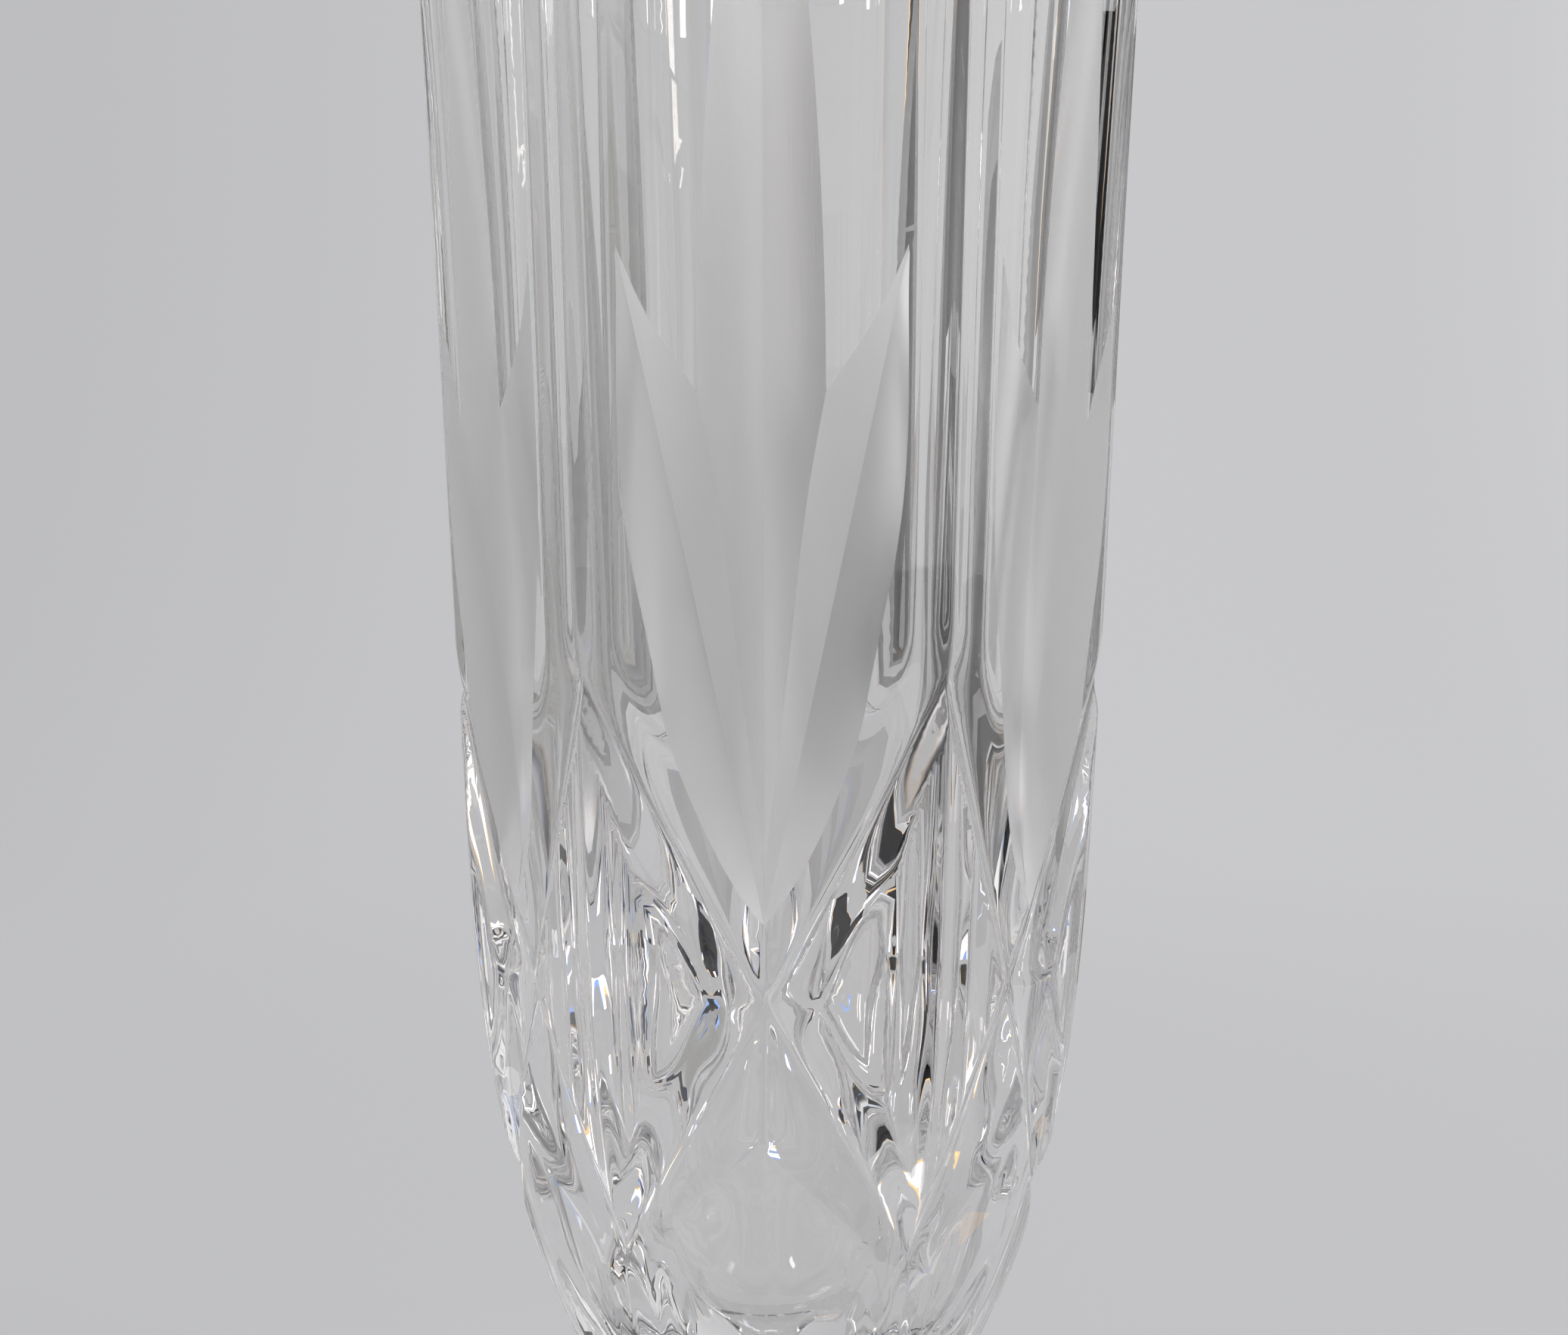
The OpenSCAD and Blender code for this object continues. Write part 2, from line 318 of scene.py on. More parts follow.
def level_lines(value, keep, step, z_lo, z_hi):
    """Segments of the line where value is 0, between crossings found along a grid's edges.

    Both value and keep are functions of flat places, and keep says which segments stay.
    """
    xs = np.linspace(0, HALF_W, int(round(HALF_W / step)) + 1)
    zs = np.linspace(z_lo, z_hi, int(round((z_hi - z_lo) / step)) + 1)
    gx, gz = np.meshgrid(xs, zs, indexing="ij")
    f = value(gx, gz)
    points, ids = [], {}

    def crossings(a, b, tag):
        ia, ib = np.nonzero((f[a] > 0) != (f[b] > 0))
        x0, z0, x1, z1 = gx[a][ia, ib], gz[a][ia, ib], gx[b][ia, ib], gz[b][ia, ib]
        f0 = f[a][ia, ib] > 0
        t0, t1 = np.zeros(len(ia)), np.ones(len(ia))
        for _ in range(HALVINGS):
            tm = (t0 + t1) / 2
            same = (value(x0 + (x1 - x0) * tm, z0 + (z1 - z0) * tm) > 0) == f0
            t0, t1 = np.where(same, tm, t0), np.where(same, t1, tm)
        tm = (t0 + t1) / 2
        for i, j, px, pz in zip(ia, ib, x0 + (x1 - x0) * tm, z0 + (z1 - z0) * tm):
            ids[(tag, i, j)] = len(points)
            points.append((px, pz))

    lo, hi, full = slice(None, -1), slice(1, None), slice(None)
    crossings((lo, full), (hi, full), "x")
    crossings((full, lo), (full, hi), "z")
    segments = []
    for i in range(len(xs) - 1):
        for j in range(len(zs) - 1):
            sides = (("x", i, j), ("x", i, j + 1), ("z", i, j), ("z", i + 1, j))
            hits = [ids[side] for side in sides if side in ids]
            if len(hits) == 2:
                segments.append(tuple(hits))
    p = np.array(points)
    s = np.array(segments)
    ok = keep(p[s[:, 0], 0], p[s[:, 0], 1]) | keep(p[s[:, 1], 0], p[s[:, 1], 1])
    return [(tuple(p[a]), tuple(p[b])) for a, b in s[ok]]


def difference(first, second):
    """How far one surface of the wall is outside another, over the flat layout."""
    def value(x, z):
        w = at(x, z)
        return w[first] - w[second]

    return value


def everywhere(x, z):
    return np.ones(x.shape, bool)


def on_satin(x, z):
    w = at(x, z)
    return w["satin"] < w["body"]


def on_leaf(x, z):
    w = at(x, z)
    return (w["leaf"] < w["body"]) & (w["leaf"] < w["lance"])


def on_crossing(x, z):
    w = at(x, z)
    return ((np.minimum(w["arm_a"], w["arm_b"]) < w["body"] + 0.5)
            & (w["satin"] > w["body"]) & (x > 0.5))


def add_ends(layout):
    """Even points along the top and the bottom, where the wall meets the turned rings."""
    for i in range(RING_STEPS + 1):
        for z in (WALL_LO, WALL_HI):
            layout.add(HALF_W * i / RING_STEPS, z)


def add_fan_edges(layout):
    """The fan's outline, the edge between a leaf and the lance, and the leaf's valley."""
    creases = (level_lines(difference("satin", "body"), everywhere, 1.0, *FAN_SPAN)
               + level_lines(difference("leaf", "lance"), on_satin, 1.0, *FAN_SPAN)
               + level_lines(lambda x, z: at(x, z)["leaf_t"], on_leaf, 1.0, *FAN_SPAN))
    for crease in creases:
        layout.line(crease, EDGE_GAP)


def add_borders(layout, rows):
    """Points up the panel's middle, closer together where the crossed cuts meet, and up the seam."""
    for z in rows:
        layout.add(0, z, BORDER_GAP)
        layout.add(HALF_W, z, BORDER_GAP)
    for z in np.arange(*DENSE_SPAN, ROW_STEP / 2):
        layout.add(0, z, DENSE_GAP)


def upright_line(layout, x, rows, others, margin, span):
    """A line up the polished wall, left out where one of the others comes within margin of it."""
    w = at(x, rows)
    nearest = np.min([w[name] for name in others], axis=0)
    free = ((nearest >= w["body"] + margin) & (x >= 0.3)
            & (rows >= span[0]) & (rows <= span[1]))
    layout.line([(px, pz) if ok else None for px, pz, ok in zip(x, rows, free)], LINE_GAP)


def add_upright_lines(layout, rows):
    """Lines along the rib and along the panel's edge. The offsets are in mm on the glass."""
    for off in (0.25, 0.55, 1.0, 1.6, 2.1, 2.4, 2.7, 3.3, 4.1):
        x = HALF_W - off * FLAT_SCALE / outline_r(rows)
        upright_line(layout, x, rows, ("satin",), 0.05, (46, 258))
    edge_phi = math.acos(PANEL_SHARE)
    for off in (-0.8, -0.35, 0, 0.35, 0.8):
        x = edge_phi * FLAT_SCALE + off * FLAT_SCALE / outline_r(rows)
        upright_line(layout, x, rows, ("satin", "arm_a", "arm_b"), 0.3, (48, 244))


def add_arm_lines(layout):
    """Lines along each crossed cut, closest together at its valley and its two edges."""
    offsets = [0]
    for off in (0.45, 0.95, 1.7, 3.0, 4.1, 4.7, 5.3, 6.0):
        offsets += [off, -off]
    stops = np.arange(-ARM_REACH, ARM_REACH, ARM_STEP)
    for side, arm, other in ((1, "arm_a", "arm_b"), (-1, "arm_b", "arm_a")):
        cl, sl = math.cos(CROSS_LEAN), side * math.sin(CROSS_LEAN)
        for off in offsets:
            z = CROSS_Z + stops * cl - off * sl
            y = stops * sl + off * cl
            phi = y / FIRST_R
            for _ in range(ARM_ROUNDS):
                phi = np.arcsin(np.clip(y / wall(phi, z)["r"], -0.9, 0.9))
            w = wall(phi, z)
            on = ((phi > ARM_BORDER) & (phi < SECTOR - ARM_BORDER) & (w[arm] < w["body"] + 0.9)
                  & (w["satin"] > w["body"] + 0.02) & (w[arm] < w[other] + 0.02))
            points = zip(phi * FLAT_SCALE, z, on)
            layout.line([(px, pz) if ok else None for px, pz, ok in points], ARM_GAP, merge=False)


def add_crossing(layout):
    """The edges in which the two crossed cuts meet."""
    for crease in level_lines(difference("arm_a", "arm_b"), on_crossing, 0.8, *CROSSING_SPAN):
        layout.line(crease, CROSSING_GAP)


def add_fill(layout):
    """Even points in staggered rows, wherever nothing is near."""
    row_step = FILL_STEP * 0.87
    for j, z in enumerate(np.arange(WALL_LO + FILL_STEP, WALL_HI - 0.6, row_step)):
        for x in np.arange(0.6 + (j % 2) * FILL_STEP / 2, HALF_W - 0.4, FILL_STEP):
            layout.add(x, z, FILL_GAP)


def half_panel():
    """Flat places and triangles of the wall from a panel's middle to the seam with the next."""
    layout = Layout()
    rows = np.arange(WALL_LO + ROW_STEP, WALL_HI - 0.8, ROW_STEP)
    add_ends(layout)
    add_fan_edges(layout)
    add_borders(layout, rows)
    add_upright_lines(layout, rows)
    add_arm_lines(layout)
    add_crossing(layout)
    add_fill(layout)
    verts = [Vector(p) for p in layout.points]
    out = delaunay_2d_cdt(verts, sorted(layout.edges), [], 0, 1e-4)
    xz = np.array([tuple(v) for v in out[0]])
    tris = np.array([f for f in out[2] if len(f) == 3])
    a = xz[tris]
    area = ((a[:, 1, 0] - a[:, 0, 0]) * (a[:, 2, 1] - a[:, 0, 1])
            - (a[:, 2, 0] - a[:, 0, 0]) * (a[:, 1, 1] - a[:, 0, 1]))
    tris[area < 0] = tris[area < 0][:, ::-1]
    tris = tris[np.abs(area) > SLIVER]
    x, z = xz[:, 0].copy(), xz[:, 1].copy()
    for values, border in ((x, 0), (x, HALF_W), (z, WALL_LO), (z, WALL_HI)):
        values[np.abs(values - border) < SNAP] = border
    return x, z, tris


# ---------------------------------------------------------------- exact normals
def unit(v):
    return v / np.maximum(np.linalg.norm(v, axis=-1, keepdims=True), 1e-12)


def wall_normals(x, z, tris, look):
    """Normals (out, round, up) at each triangle's corners, shared by the corners of one look."""
    corners = np.stack([x[tris], z[tris]], -1)
    q = corners + (corners.mean(1, keepdims=True) - corners) * 0.05
    h = 0.01

    def value(dx, dz):
        w = at(q[..., 0] + dx, q[..., 1] + dz)
        k = look[:, None]
        return np.where(k == POLISHED, w["body"], np.where(k == LANCE_FACE, w["lance"], w["leaf"]))

    r = value(0, 0)
    r_round = (value(h, 0) - value(-h, 0)) / (2 * h) * FLAT_SCALE
    r_up = (value(0, h) - value(0, -h)) / (2 * h)
    normals = unit(np.stack([r, -r_round, -r * r_up], -1))
    group = tris * LOOKS + look[:, None]
    total = np.zeros((len(x) * LOOKS, 3))
    np.add.at(total, group.ravel(), normals.reshape(-1, 3))
    total = unit(total).reshape(len(x), LOOKS, 3)
    total[(x == 0) | (x == HALF_W), POLISHED, 1] = 0  # a mirror plane has no sideways slope
    total = unit(total)
    return total[tris, look[:, None]]


def cavity_normals(angle, z):
    """Normals of the uneven inner wall, which point to the axis."""
    turn, lift = 0.0005, 0.3

    def radius(da, dz):
        return cavity_r(z + dz) + ripple(angle + da, z + dz)

    r = radius(0, 0)
    r_round = (radius(turn, 0) - radius(-turn, 0)) / (2 * turn)
    r_up = (radius(0, lift) - radius(0, -lift)) / (2 * lift)
    out = np.stack([np.cos(angle), np.sin(angle)], -1)
    side = np.stack([-np.sin(angle), np.cos(angle)], -1)
    flat = out * r[..., None] - side * r_round[..., None]
    return -unit(np.concatenate([flat, (-r * r_up)[..., None]], -1))


# ---------------------------------------------------------------- the bowl's mesh
def bridge(loops):
    """Triangles between each loop of points and the next."""
    faces = []
    for lower, upper in zip(loops[:-1], loops[1:]):
        next_lower, next_upper = np.roll(lower, -1), np.roll(upper, -1)
        faces += [np.c_[lower, next_lower, next_upper], np.c_[lower, next_upper, upper]]
    return np.vstack(faces)


def lid(loop, pole):
    """Triangles from a loop to the one point that closes it."""
    return np.c_[loop, np.roll(loop, -1), np.full(len(loop), pole)]


def looks_of(x, z, tris):
    """The look of each triangle of half a panel, and whether its nearest satin cut is the leaf."""
    c = at(x[tris].mean(1), z[tris].mean(1))
    is_leaf = c["leaf"] < c["lance"]
    leaf_face = np.where(c["leaf_t"] > 0, LEAF_FAR, LEAF_NEAR)
    satin = np.where(is_leaf, leaf_face, LANCE_FACE)
    return np.where(c["satin"] < c["body"], satin, POLISHED), is_leaf


def outer_wall():
    """The whole outer wall: half a panel mirrored and turned, with the borders shared."""
    x, z, tris = half_panel()
    w = at(x, z)
    look, is_leaf = looks_of(x, z, tris)
    across, along = (np.where(is_leaf[:, None], w["leaf_" + way][tris], w["lance_" + way][tris])
                     for way in "tu")
    local = wall_normals(x, z, tris, look)
    on_mid, on_seam = x == 0, x == HALF_W
    ids, parts, total = {}, [], 0
    for k in range(PANELS):
        for side in (1, -1):
            own = np.full(len(x), -1)
            if side == -1:
                own[on_mid] = ids[(k, 1)][on_mid]
            if side == -1 and k > 0:
                own[on_seam] = ids[(k - 1, 1)][on_seam]
            if side == 1 and k == PANELS - 1:
                own[on_seam] = ids[(0, -1)][on_seam]
            new = own < 0
            own[new] = total + np.arange(new.sum())
            total += int(new.sum())
            ids[(k, side)] = own
            angle = FRONT + 2 * SECTOR * k + side * x / FLAT_SCALE
            coords = np.c_[w["r"] * np.cos(angle), w["r"] * np.sin(angle), z][new]
            c, s = np.cos(angle[tris]), np.sin(angle[tris])
            out, round_, up = local[..., 0], side * local[..., 1], local[..., 2]
            normals = np.stack([out * c - round_ * s, out * s + round_ * c, up], -1)
            own_grain = np.full_like(across, side * GRAIN_STEP + k)
            grain = np.stack([across * side, along, own_grain], -1)
            corners = [own[tris], grain, normals]
            if side == -1:
                corners = [values[:, ::-1] for values in corners]
            label = np.where(look > 0, look + LOOKS * (2 * k + (side > 0)), POLISHED)
            parts.append((coords, *corners, label))
    return [np.concatenate(values) for values in zip(*parts)]


def ring_at(coords, level):
    found = np.nonzero(coords[:, 2] == level)[0]
    return found[np.argsort(np.arctan2(coords[found, 1], coords[found, 0]))]


def inner_rows():
    """Rows (radius, height) over the rounded rim and down the cavity."""
    b = RIM_BEVEL
    arc = np.radians(np.linspace(0, 90, 5)[1:])
    rows = [(RIM_R - b + b * math.cos(t) * RIM_TUCK, TOTAL_H - b + b * math.sin(t)) for t in arc]
    rows += [(RIM_R - b - (RIM_R - MOUTH_R - 2 * b) * t, TOTAL_H) for t in (0.5, 1)]
    rows += [(MOUTH_R + b - b * math.sin(t), TOTAL_H - b + b * math.cos(t)) for t in arc[:-1]]
    down = CAVITY[::-1]
    lengths = np.r_[0, np.cumsum(np.hypot(*np.diff(down, axis=0).T))]
    stops = np.linspace(0, 1, CAVITY_ROWS)[:-1] * lengths[-1]
    path = np.c_[np.interp(stops, lengths, down[:, 0]), np.interp(stops, lengths, down[:, 1])]
    return np.array(rows + [tuple(p) for p in path if p[1] < TOTAL_H - b - 0.3])


def bowl_mesh():
    """Points, triangles, material slots, labels, grain and normals of the whole bowl."""
    coords, faces, grain, normals, labels = outer_wall()
    top, bottom = ring_at(coords, WALL_HI), ring_at(coords, WALL_LO)
    angles = np.arctan2(coords[top, 1], coords[top, 0])[None]
    rows = inner_rows()
    height = np.repeat(rows[:, 1:], RING_N, 1)
    inside = rows[:, 0] < cavity_r(rows[:, 1]) + 0.05
    radii = rows[:, :1] + ripple(angles, rows[:, 1:]) * inside[:, None]
    grid = np.stack([radii * np.cos(angles), radii * np.sin(angles), height], -1).reshape(-1, 3)
    first = len(coords)
    pole = first + len(grid)
    coords = np.vstack([coords, grid, [[0, 0, CAVITY_Z]], [[0, 0, WALL_LO]]])
    loops = [top] + [first + i * RING_N + np.arange(RING_N) for i in range(len(rows))]
    turned = np.vstack([bridge(loops), lid(loops[-1], pole)])
    base = lid(bottom, pole + 1)[:, [1, 0, 2]]
    row_normals = cavity_normals(np.repeat(angles, len(rows), 0), height)
    row_normals[~inside | (rows[:, 0] < POLE_R)] = 0  # Blender works these out
    point = np.zeros((len(coords), 3))
    point[faces.ravel()] = normals.reshape(-1, 3)
    point[first:pole] = row_normals.reshape(-1, 3)
    normals = np.vstack([normals, point[turned], np.zeros((len(base), 3, 3))])
    grain = np.vstack([grain, np.zeros((len(turned) + len(base), 3, 3))])
    slots = np.r_[np.minimum(labels, 1), np.zeros(len(turned), int), np.full(len(base), 2)]
    labels = np.r_[labels, np.zeros(len(turned), int), np.full(len(base), 1)]
    return coords, np.vstack([faces, turned, base]), slots, labels, grain, normals


def make_object(name, coords, faces, slots, labels, grain=None, normals=None):
    """A smooth mesh object, with sharp edges where triangles of different labels meet."""
    mesh = bpy.data.meshes.new(name)
    mesh.vertices.add(len(coords))
    mesh.vertices.foreach_set("co", (coords * MM).astype(np.float32).ravel())
    mesh.loops.add(faces.size)
    mesh.loops.foreach_set("vertex_index", faces.astype(np.int32).ravel())
    mesh.polygons.add(len(faces))
    mesh.polygons.foreach_set("loop_start", np.arange(0, faces.size, 3, dtype=np.int32))
    mesh.update(calc_edges=True)
    mesh.polygons.foreach_set("material_index", np.asarray(slots, np.int32))
    mesh.polygons.foreach_set("use_smooth", np.ones(len(faces), bool))
    edge_of = np.zeros(faces.size, np.int32)
    mesh.loops.foreach_get("edge_index", edge_of)
    corner_labels = np.repeat(labels, 3)
    lowest = np.full(len(mesh.edges), 10 ** 6)
    highest = np.full(len(mesh.edges), -1)
    np.minimum.at(lowest, edge_of, corner_labels)
    np.maximum.at(highest, edge_of, corner_labels)
    sharp = mesh.attributes.new("sharp_edge", "BOOLEAN", "EDGE")
    sharp.data.foreach_set("value", lowest != highest)
    if grain is not None:
        layer = mesh.attributes.new("grain", "FLOAT_VECTOR", "CORNER")
        layer.data.foreach_set("vector", grain.astype(np.float32).ravel())
    mesh.validate()
    if normals is not None:
        mesh.normals_split_custom_set(normals.reshape(-1, 3).tolist())
    obj = bpy.data.objects.new(name, mesh)
    bpy.context.scene.collection.objects.link(obj)
    return obj


def turned_piece(name, rows, segments, low_centre_z, low_slot, high_slot):
    """A solid turned from rows (radius, height), with a material slot for each closed end."""
    rows = np.array(rows, float)
    angles = np.linspace(0, 2 * math.pi, segments, endpoint=False)[None]
    grid = np.stack([rows[:, :1] * np.cos(angles), rows[:, :1] * np.sin(angles),
                     np.repeat(rows[:, 1:], segments, 1)], -1).reshape(-1, 3)
    coords = np.vstack([grid, [[0, 0, low_centre_z]], [[0, 0, rows[-1, 1]]]])
    loops = [i * segments + np.arange(segments) for i in range(len(rows))]
    side = bridge(loops)
    low_end = lid(loops[0], len(grid))[:, [1, 0, 2]]
    high_end = lid(loops[-1], len(grid) + 1)
    slots = np.repeat([0, low_slot, high_slot], [len(side), segments, segments])
    return make_object(name, coords, np.vstack([side, low_end, high_end]), slots, slots)


# ---------------------------------------------------------------- materials
class Nodes:
    """A new material's nodes, with a short call for each kind that is used here."""

    def __init__(self, name):
        self.material = bpy.data.materials.new(name)
        self.material.use_nodes = True
        self.nodes, self.links = self.material.node_tree.nodes, self.material.node_tree.links
        self.nodes.clear()
        self.out = self.new("OutputMaterial")

    def new(self, kind, **inputs):
        node = self.nodes.new("ShaderNode" + kind)
        for name, value in inputs.items():
            node.inputs[name.replace("_", " ")].default_value = value
        return node

    def shader(self, node, output="BSDF"):
        self.links.new(node.outputs[output], self.out.inputs["Surface"])
        return self.material

    def object_place(self):
        return self.new("TexCoord").outputs["Object"]

    def attribute(self, name, output):
        node = self.new("Attribute")
        node.attribute_name = name
        return node.outputs[output]

    def scaled(self, vector, factors):
        node = self.new("VectorMath")
        node.operation = "MULTIPLY"
        node.inputs[1].default_value = factors
        self.links.new(vector, node.inputs[0])
        return node.outputs["Vector"]

    def noise(self, vector, scale, detail):
        node = self.new("TexNoise", Scale=scale, Detail=detail)
        self.links.new(vector, node.inputs["Vector"])
        return node.outputs["Fac"]

    def tint(self, value, dark, light, span=(0.0, 1.0)):
        """A colour from dark to light, as value goes over span."""
        node = self.new("ValToRGB")
        for element, place, color in zip(node.color_ramp.elements, span, (dark, light)):
            element.position = place
            element.color = (*color, 1)
        self.links.new(value, node.inputs["Fac"])
        return node.outputs["Color"]

    def spread(self, value, low, high, span=(0.0, 1.0), smooth=False):
        """value carried from span to low and high."""
        node = self.new("MapRange", From_Min=span[0], From_Max=span[1], To_Min=low, To_Max=high)
        if smooth:
            node.interpolation_type = "SMOOTHSTEP"
        self.links.new(value, node.inputs["Value"])
        return node.outputs["Result"]

    def bump(self, height, strength, distance):
        node = self.new("Bump", Strength=strength, Distance=distance)
        self.links.new(height, node.inputs["Height"])
        return node.outputs["Normal"]


def crystal_material():
    """Polished lead crystal, with a very faint upright swell in its surface."""
    mat = Nodes("polished_crystal")
    shader = mat.new("BsdfPrincipled", Transmission_Weight=1.0, IOR=1.545)
    place = mat.object_place()
    cloud = mat.noise(place, 90, 3)
    tint = mat.tint(cloud, (0.955, 0.95, 0.945), (0.985, 0.98, 0.975))
    swell = mat.noise(mat.scaled(place, (1.0, 1.0, 0.12)), 160, 1)
    mat.links.new(tint, shader.inputs["Base Color"])
    mat.links.new(mat.spread(cloud, 0.0, 0.02), shader.inputs["Roughness"])
    mat.links.new(mat.bump(swell, 0.2, 0.00008), shader.inputs["Normal"])
    return mat.shader(shader)


def satin_material():
    """The matt face that a cutting wheel leaves, with fine lines along the cut."""
    mat = Nodes("satin_cut")
    shader = mat.new("BsdfPrincipled", Transmission_Weight=0.74, IOR=1.5)
    streak = mat.noise(mat.scaled(mat.attribute("grain", "Vector"), (4.5, 0.06, 3.0)), 1.0, 4)
    tint = mat.tint(streak, (0.985, 0.98, 0.972), (1.0, 1.0, 0.997), (0.3, 0.7))
    mat.links.new(tint, shader.inputs["Base Color"])
    mat.links.new(mat.spread(streak, 0.30, 0.42), shader.inputs["Roughness"])
    mat.links.new(mat.bump(streak, 0.3, 0.00006), shader.inputs["Normal"])
    return mat.shader(shader)


def joint_material():
    """Clear, for the faces where two pieces of glass are fused into one mass."""
    mat = Nodes("fused_joint")
    shader = mat.new("BsdfTransparent")
    cloud = mat.noise(mat.object_place(), 120, 2)
    mat.links.new(mat.tint(cloud, (0.985, 0.985, 0.985), (1, 1, 1)), shader.inputs["Color"])
    return mat.shader(shader)


# ---------------------------------------------------------------- the three pieces
CRYSTAL, SATIN, JOINT = crystal_material(), satin_material(), joint_material()
PLAIN_END, FUSED_END = 0, 1  # material slots of a turned piece's ends


def finish_piece(piece, node, *materials):
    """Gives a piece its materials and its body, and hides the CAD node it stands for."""
    for mat in materials:
        piece.data.materials.append(mat)
    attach(piece, "root")
    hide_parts(node)


def make_bowl():
    return make_object("bowl_cut", *bowl_mesh())


def make_knop():
    """The bulb of the stem. Each point is a radius and a share of the knop's height."""
    points = np.array([(STEM_R, 0), (STEM_R + 1.3, 0.05), (STEM_R + 2.9, 0.12),
                       (KNOP_R - 1.6, 0.27), (KNOP_R - 0.4, 0.42), (KNOP_R, 0.56),
                       (KNOP_R - 0.5, 0.72), (KNOP_R - 1.6, 0.87), (NECK_R, 1)])
    rows = [(float(np.interp(t, points[:, 1], points[:, 0])), KNOP_Z + (BOWL_Z - KNOP_Z) * t)
            for t in np.linspace(0, 1, 24)]
    return turned_piece("knop_turned", rows, segments=120, low_centre_z=KNOP_Z,
                        low_slot=FUSED_END, high_slot=FUSED_END)


def make_foot():
    """The round base. Each row is a radius and a height, from the inside of the ring it stands on
    up to the stem. The underside is ground hollow within that ring."""
    ring_r, hollow_h = 27, 1.6
    rows = [(ring_r, 0.0), (37.0, 0.0), (37.6, 0.15), (38.2, 0.6), (FOOT_R, 1.3), (FOOT_R, 3.8),
            (38.3, 4.5), (37.6, 5.05), (36.4, 5.35), (27.7, 6.3), (22, 7.3), (17.7, 8.6),
            (14.6, 10), (12.7, 11.4), (11.4, 12.8), (STEM_R, 14)]
    return turned_piece("foot_turned", rows, segments=144, low_centre_z=hollow_h,
                        low_slot=PLAIN_END, high_slot=FUSED_END)


finish_piece(make_bowl(), "bowl", CRYSTAL, SATIN, JOINT)
finish_piece(make_knop(), "knop", CRYSTAL, JOINT)
finish_piece(make_foot(), "foot", CRYSTAL, JOINT)

# ---------------------------------------------------------------- stage, in metres
scene = bpy.context.scene
FLOOR_Z = FOOT_LO.z
EYE_H = 0.140  # height of the camera, from which the cards' rise is measured too
SWEEP_R, SWEEP_BEND, SWEEP_H = 1.7, 0.6, 2.2


def sweep_grey(level):
    return (level * 0.99, level * 0.992, level * 1.01, 1)


def sweep_material():
    """Pale matt paper that glows a little, and more towards the far right, as by a window."""
    mat = Nodes("studio_sweep")
    shader = mat.new("BsdfPrincipled", Base_Color=(0.25, 0.25, 0.255, 1), Roughness=0.9,
                     Specular_IOR_Level=0.05)
    place = mat.object_place()
    split = mat.new("SeparateXYZ")
    mat.links.new(place, split.inputs["Vector"])
    across = mat.new("ValToRGB")
    across.color_ramp.interpolation = "B_SPLINE"
    across.color_ramp.elements[1].color = (1, 1, 1, 1)
    across.color_ramp.elements[0].color = sweep_grey(0.34)
    for share, level in ((0.28, 0.35), (0.4, 0.40), (0.6, 0.435), (0.72, 0.385)):
        across.color_ramp.elements.new(share).color = sweep_grey(level)
    width = mat.spread(split.outputs["X"], 0.0, 1.0, (-SWEEP_R, SWEEP_R))
    mat.links.new(width, across.inputs["Fac"])
    mat.links.new(across.outputs["Color"], shader.inputs["Emission Color"])
    reach = mat.new("VectorMath")
    reach.operation = "LENGTH"
    mat.links.new(place, reach.inputs[0])
    glow = mat.spread(reach.outputs["Value"], 0.86, 1.0, (0.1, 1.4), smooth=True)
    mat.links.new(glow, shader.inputs["Emission Strength"])
    return mat.shader(shader)


def sheet(name, verts, quads, mat, seen=True):
    """A stage surface. One that is not seen shows only through and on the glass."""
    mesh = bpy.data.meshes.new(name)
    mesh.from_pydata(verts, [], quads)
    mesh.materials.append(mat)
    for face in mesh.polygons:
        face.use_smooth = True
    obj = bpy.data.objects.new(name, mesh)
    scene.collection.objects.link(obj)
    obj.visible_camera = seen
    obj.visible_diffuse = seen
    obj.visible_shadow = seen
    return obj


def round_sweep(segments=96, bends=16):
    """A round paper sweep: flat floor, a wide bend and an upright wall."""
    flat_r = SWEEP_R - SWEEP_BEND
    rows = [(0.001, 0), (0.35, 0), (0.7, 0), (flat_r, 0)]
    for i in range(1, bends + 1):
        t = math.pi / 2 * i / bends
        rows.append((SWEEP_R - SWEEP_BEND * (1 - math.sin(t)), SWEEP_BEND * (1 - math.cos(t))))
    rows.append((SWEEP_R, SWEEP_H))
    turns = [2 * math.pi * j / segments for j in range(segments)]
    verts = [(r * math.cos(a), r * math.sin(a), FLOOR_Z + h) for r, h in rows for a in turns]
    quads = [(i * segments + j, i * segments + (j + 1) % segments,
              (i + 1) * segments + (j + 1) % segments, (i + 1) * segments + j)
             for i in range(len(rows) - 1) for j in range(segments)]
    return sheet("studio_sweep", verts, quads, sweep_material())


def plain_world():
    world = bpy.data.worlds.new("studio")
    scene.world = world
    world.use_nodes = True
    background = world.node_tree.nodes["Background"]
    background.inputs["Color"].default_value = (0.52, 0.525, 0.54, 1)
    background.inputs["Strength"].default_value = 0.9


round_sweep()
plain_world()


# ---------------------------------------------------------------- cards round the vase
# A card's turn and rise are (first, last) angles in degrees, from behind the vase towards the
# right and up from eye height. Its distance is from the axis.
def card_point(turn, rise, distance):
    a = math.radians(turn)
    lift = distance * math.tan(math.radians(rise))
    return distance * math.sin(a), distance * math.cos(a), FLOOR_Z + EYE_H + lift


def card_material(name, color):
    mat = Nodes(name)
    return mat.shader(mat.new("Emission", Color=(*color, 1)), "Emission")


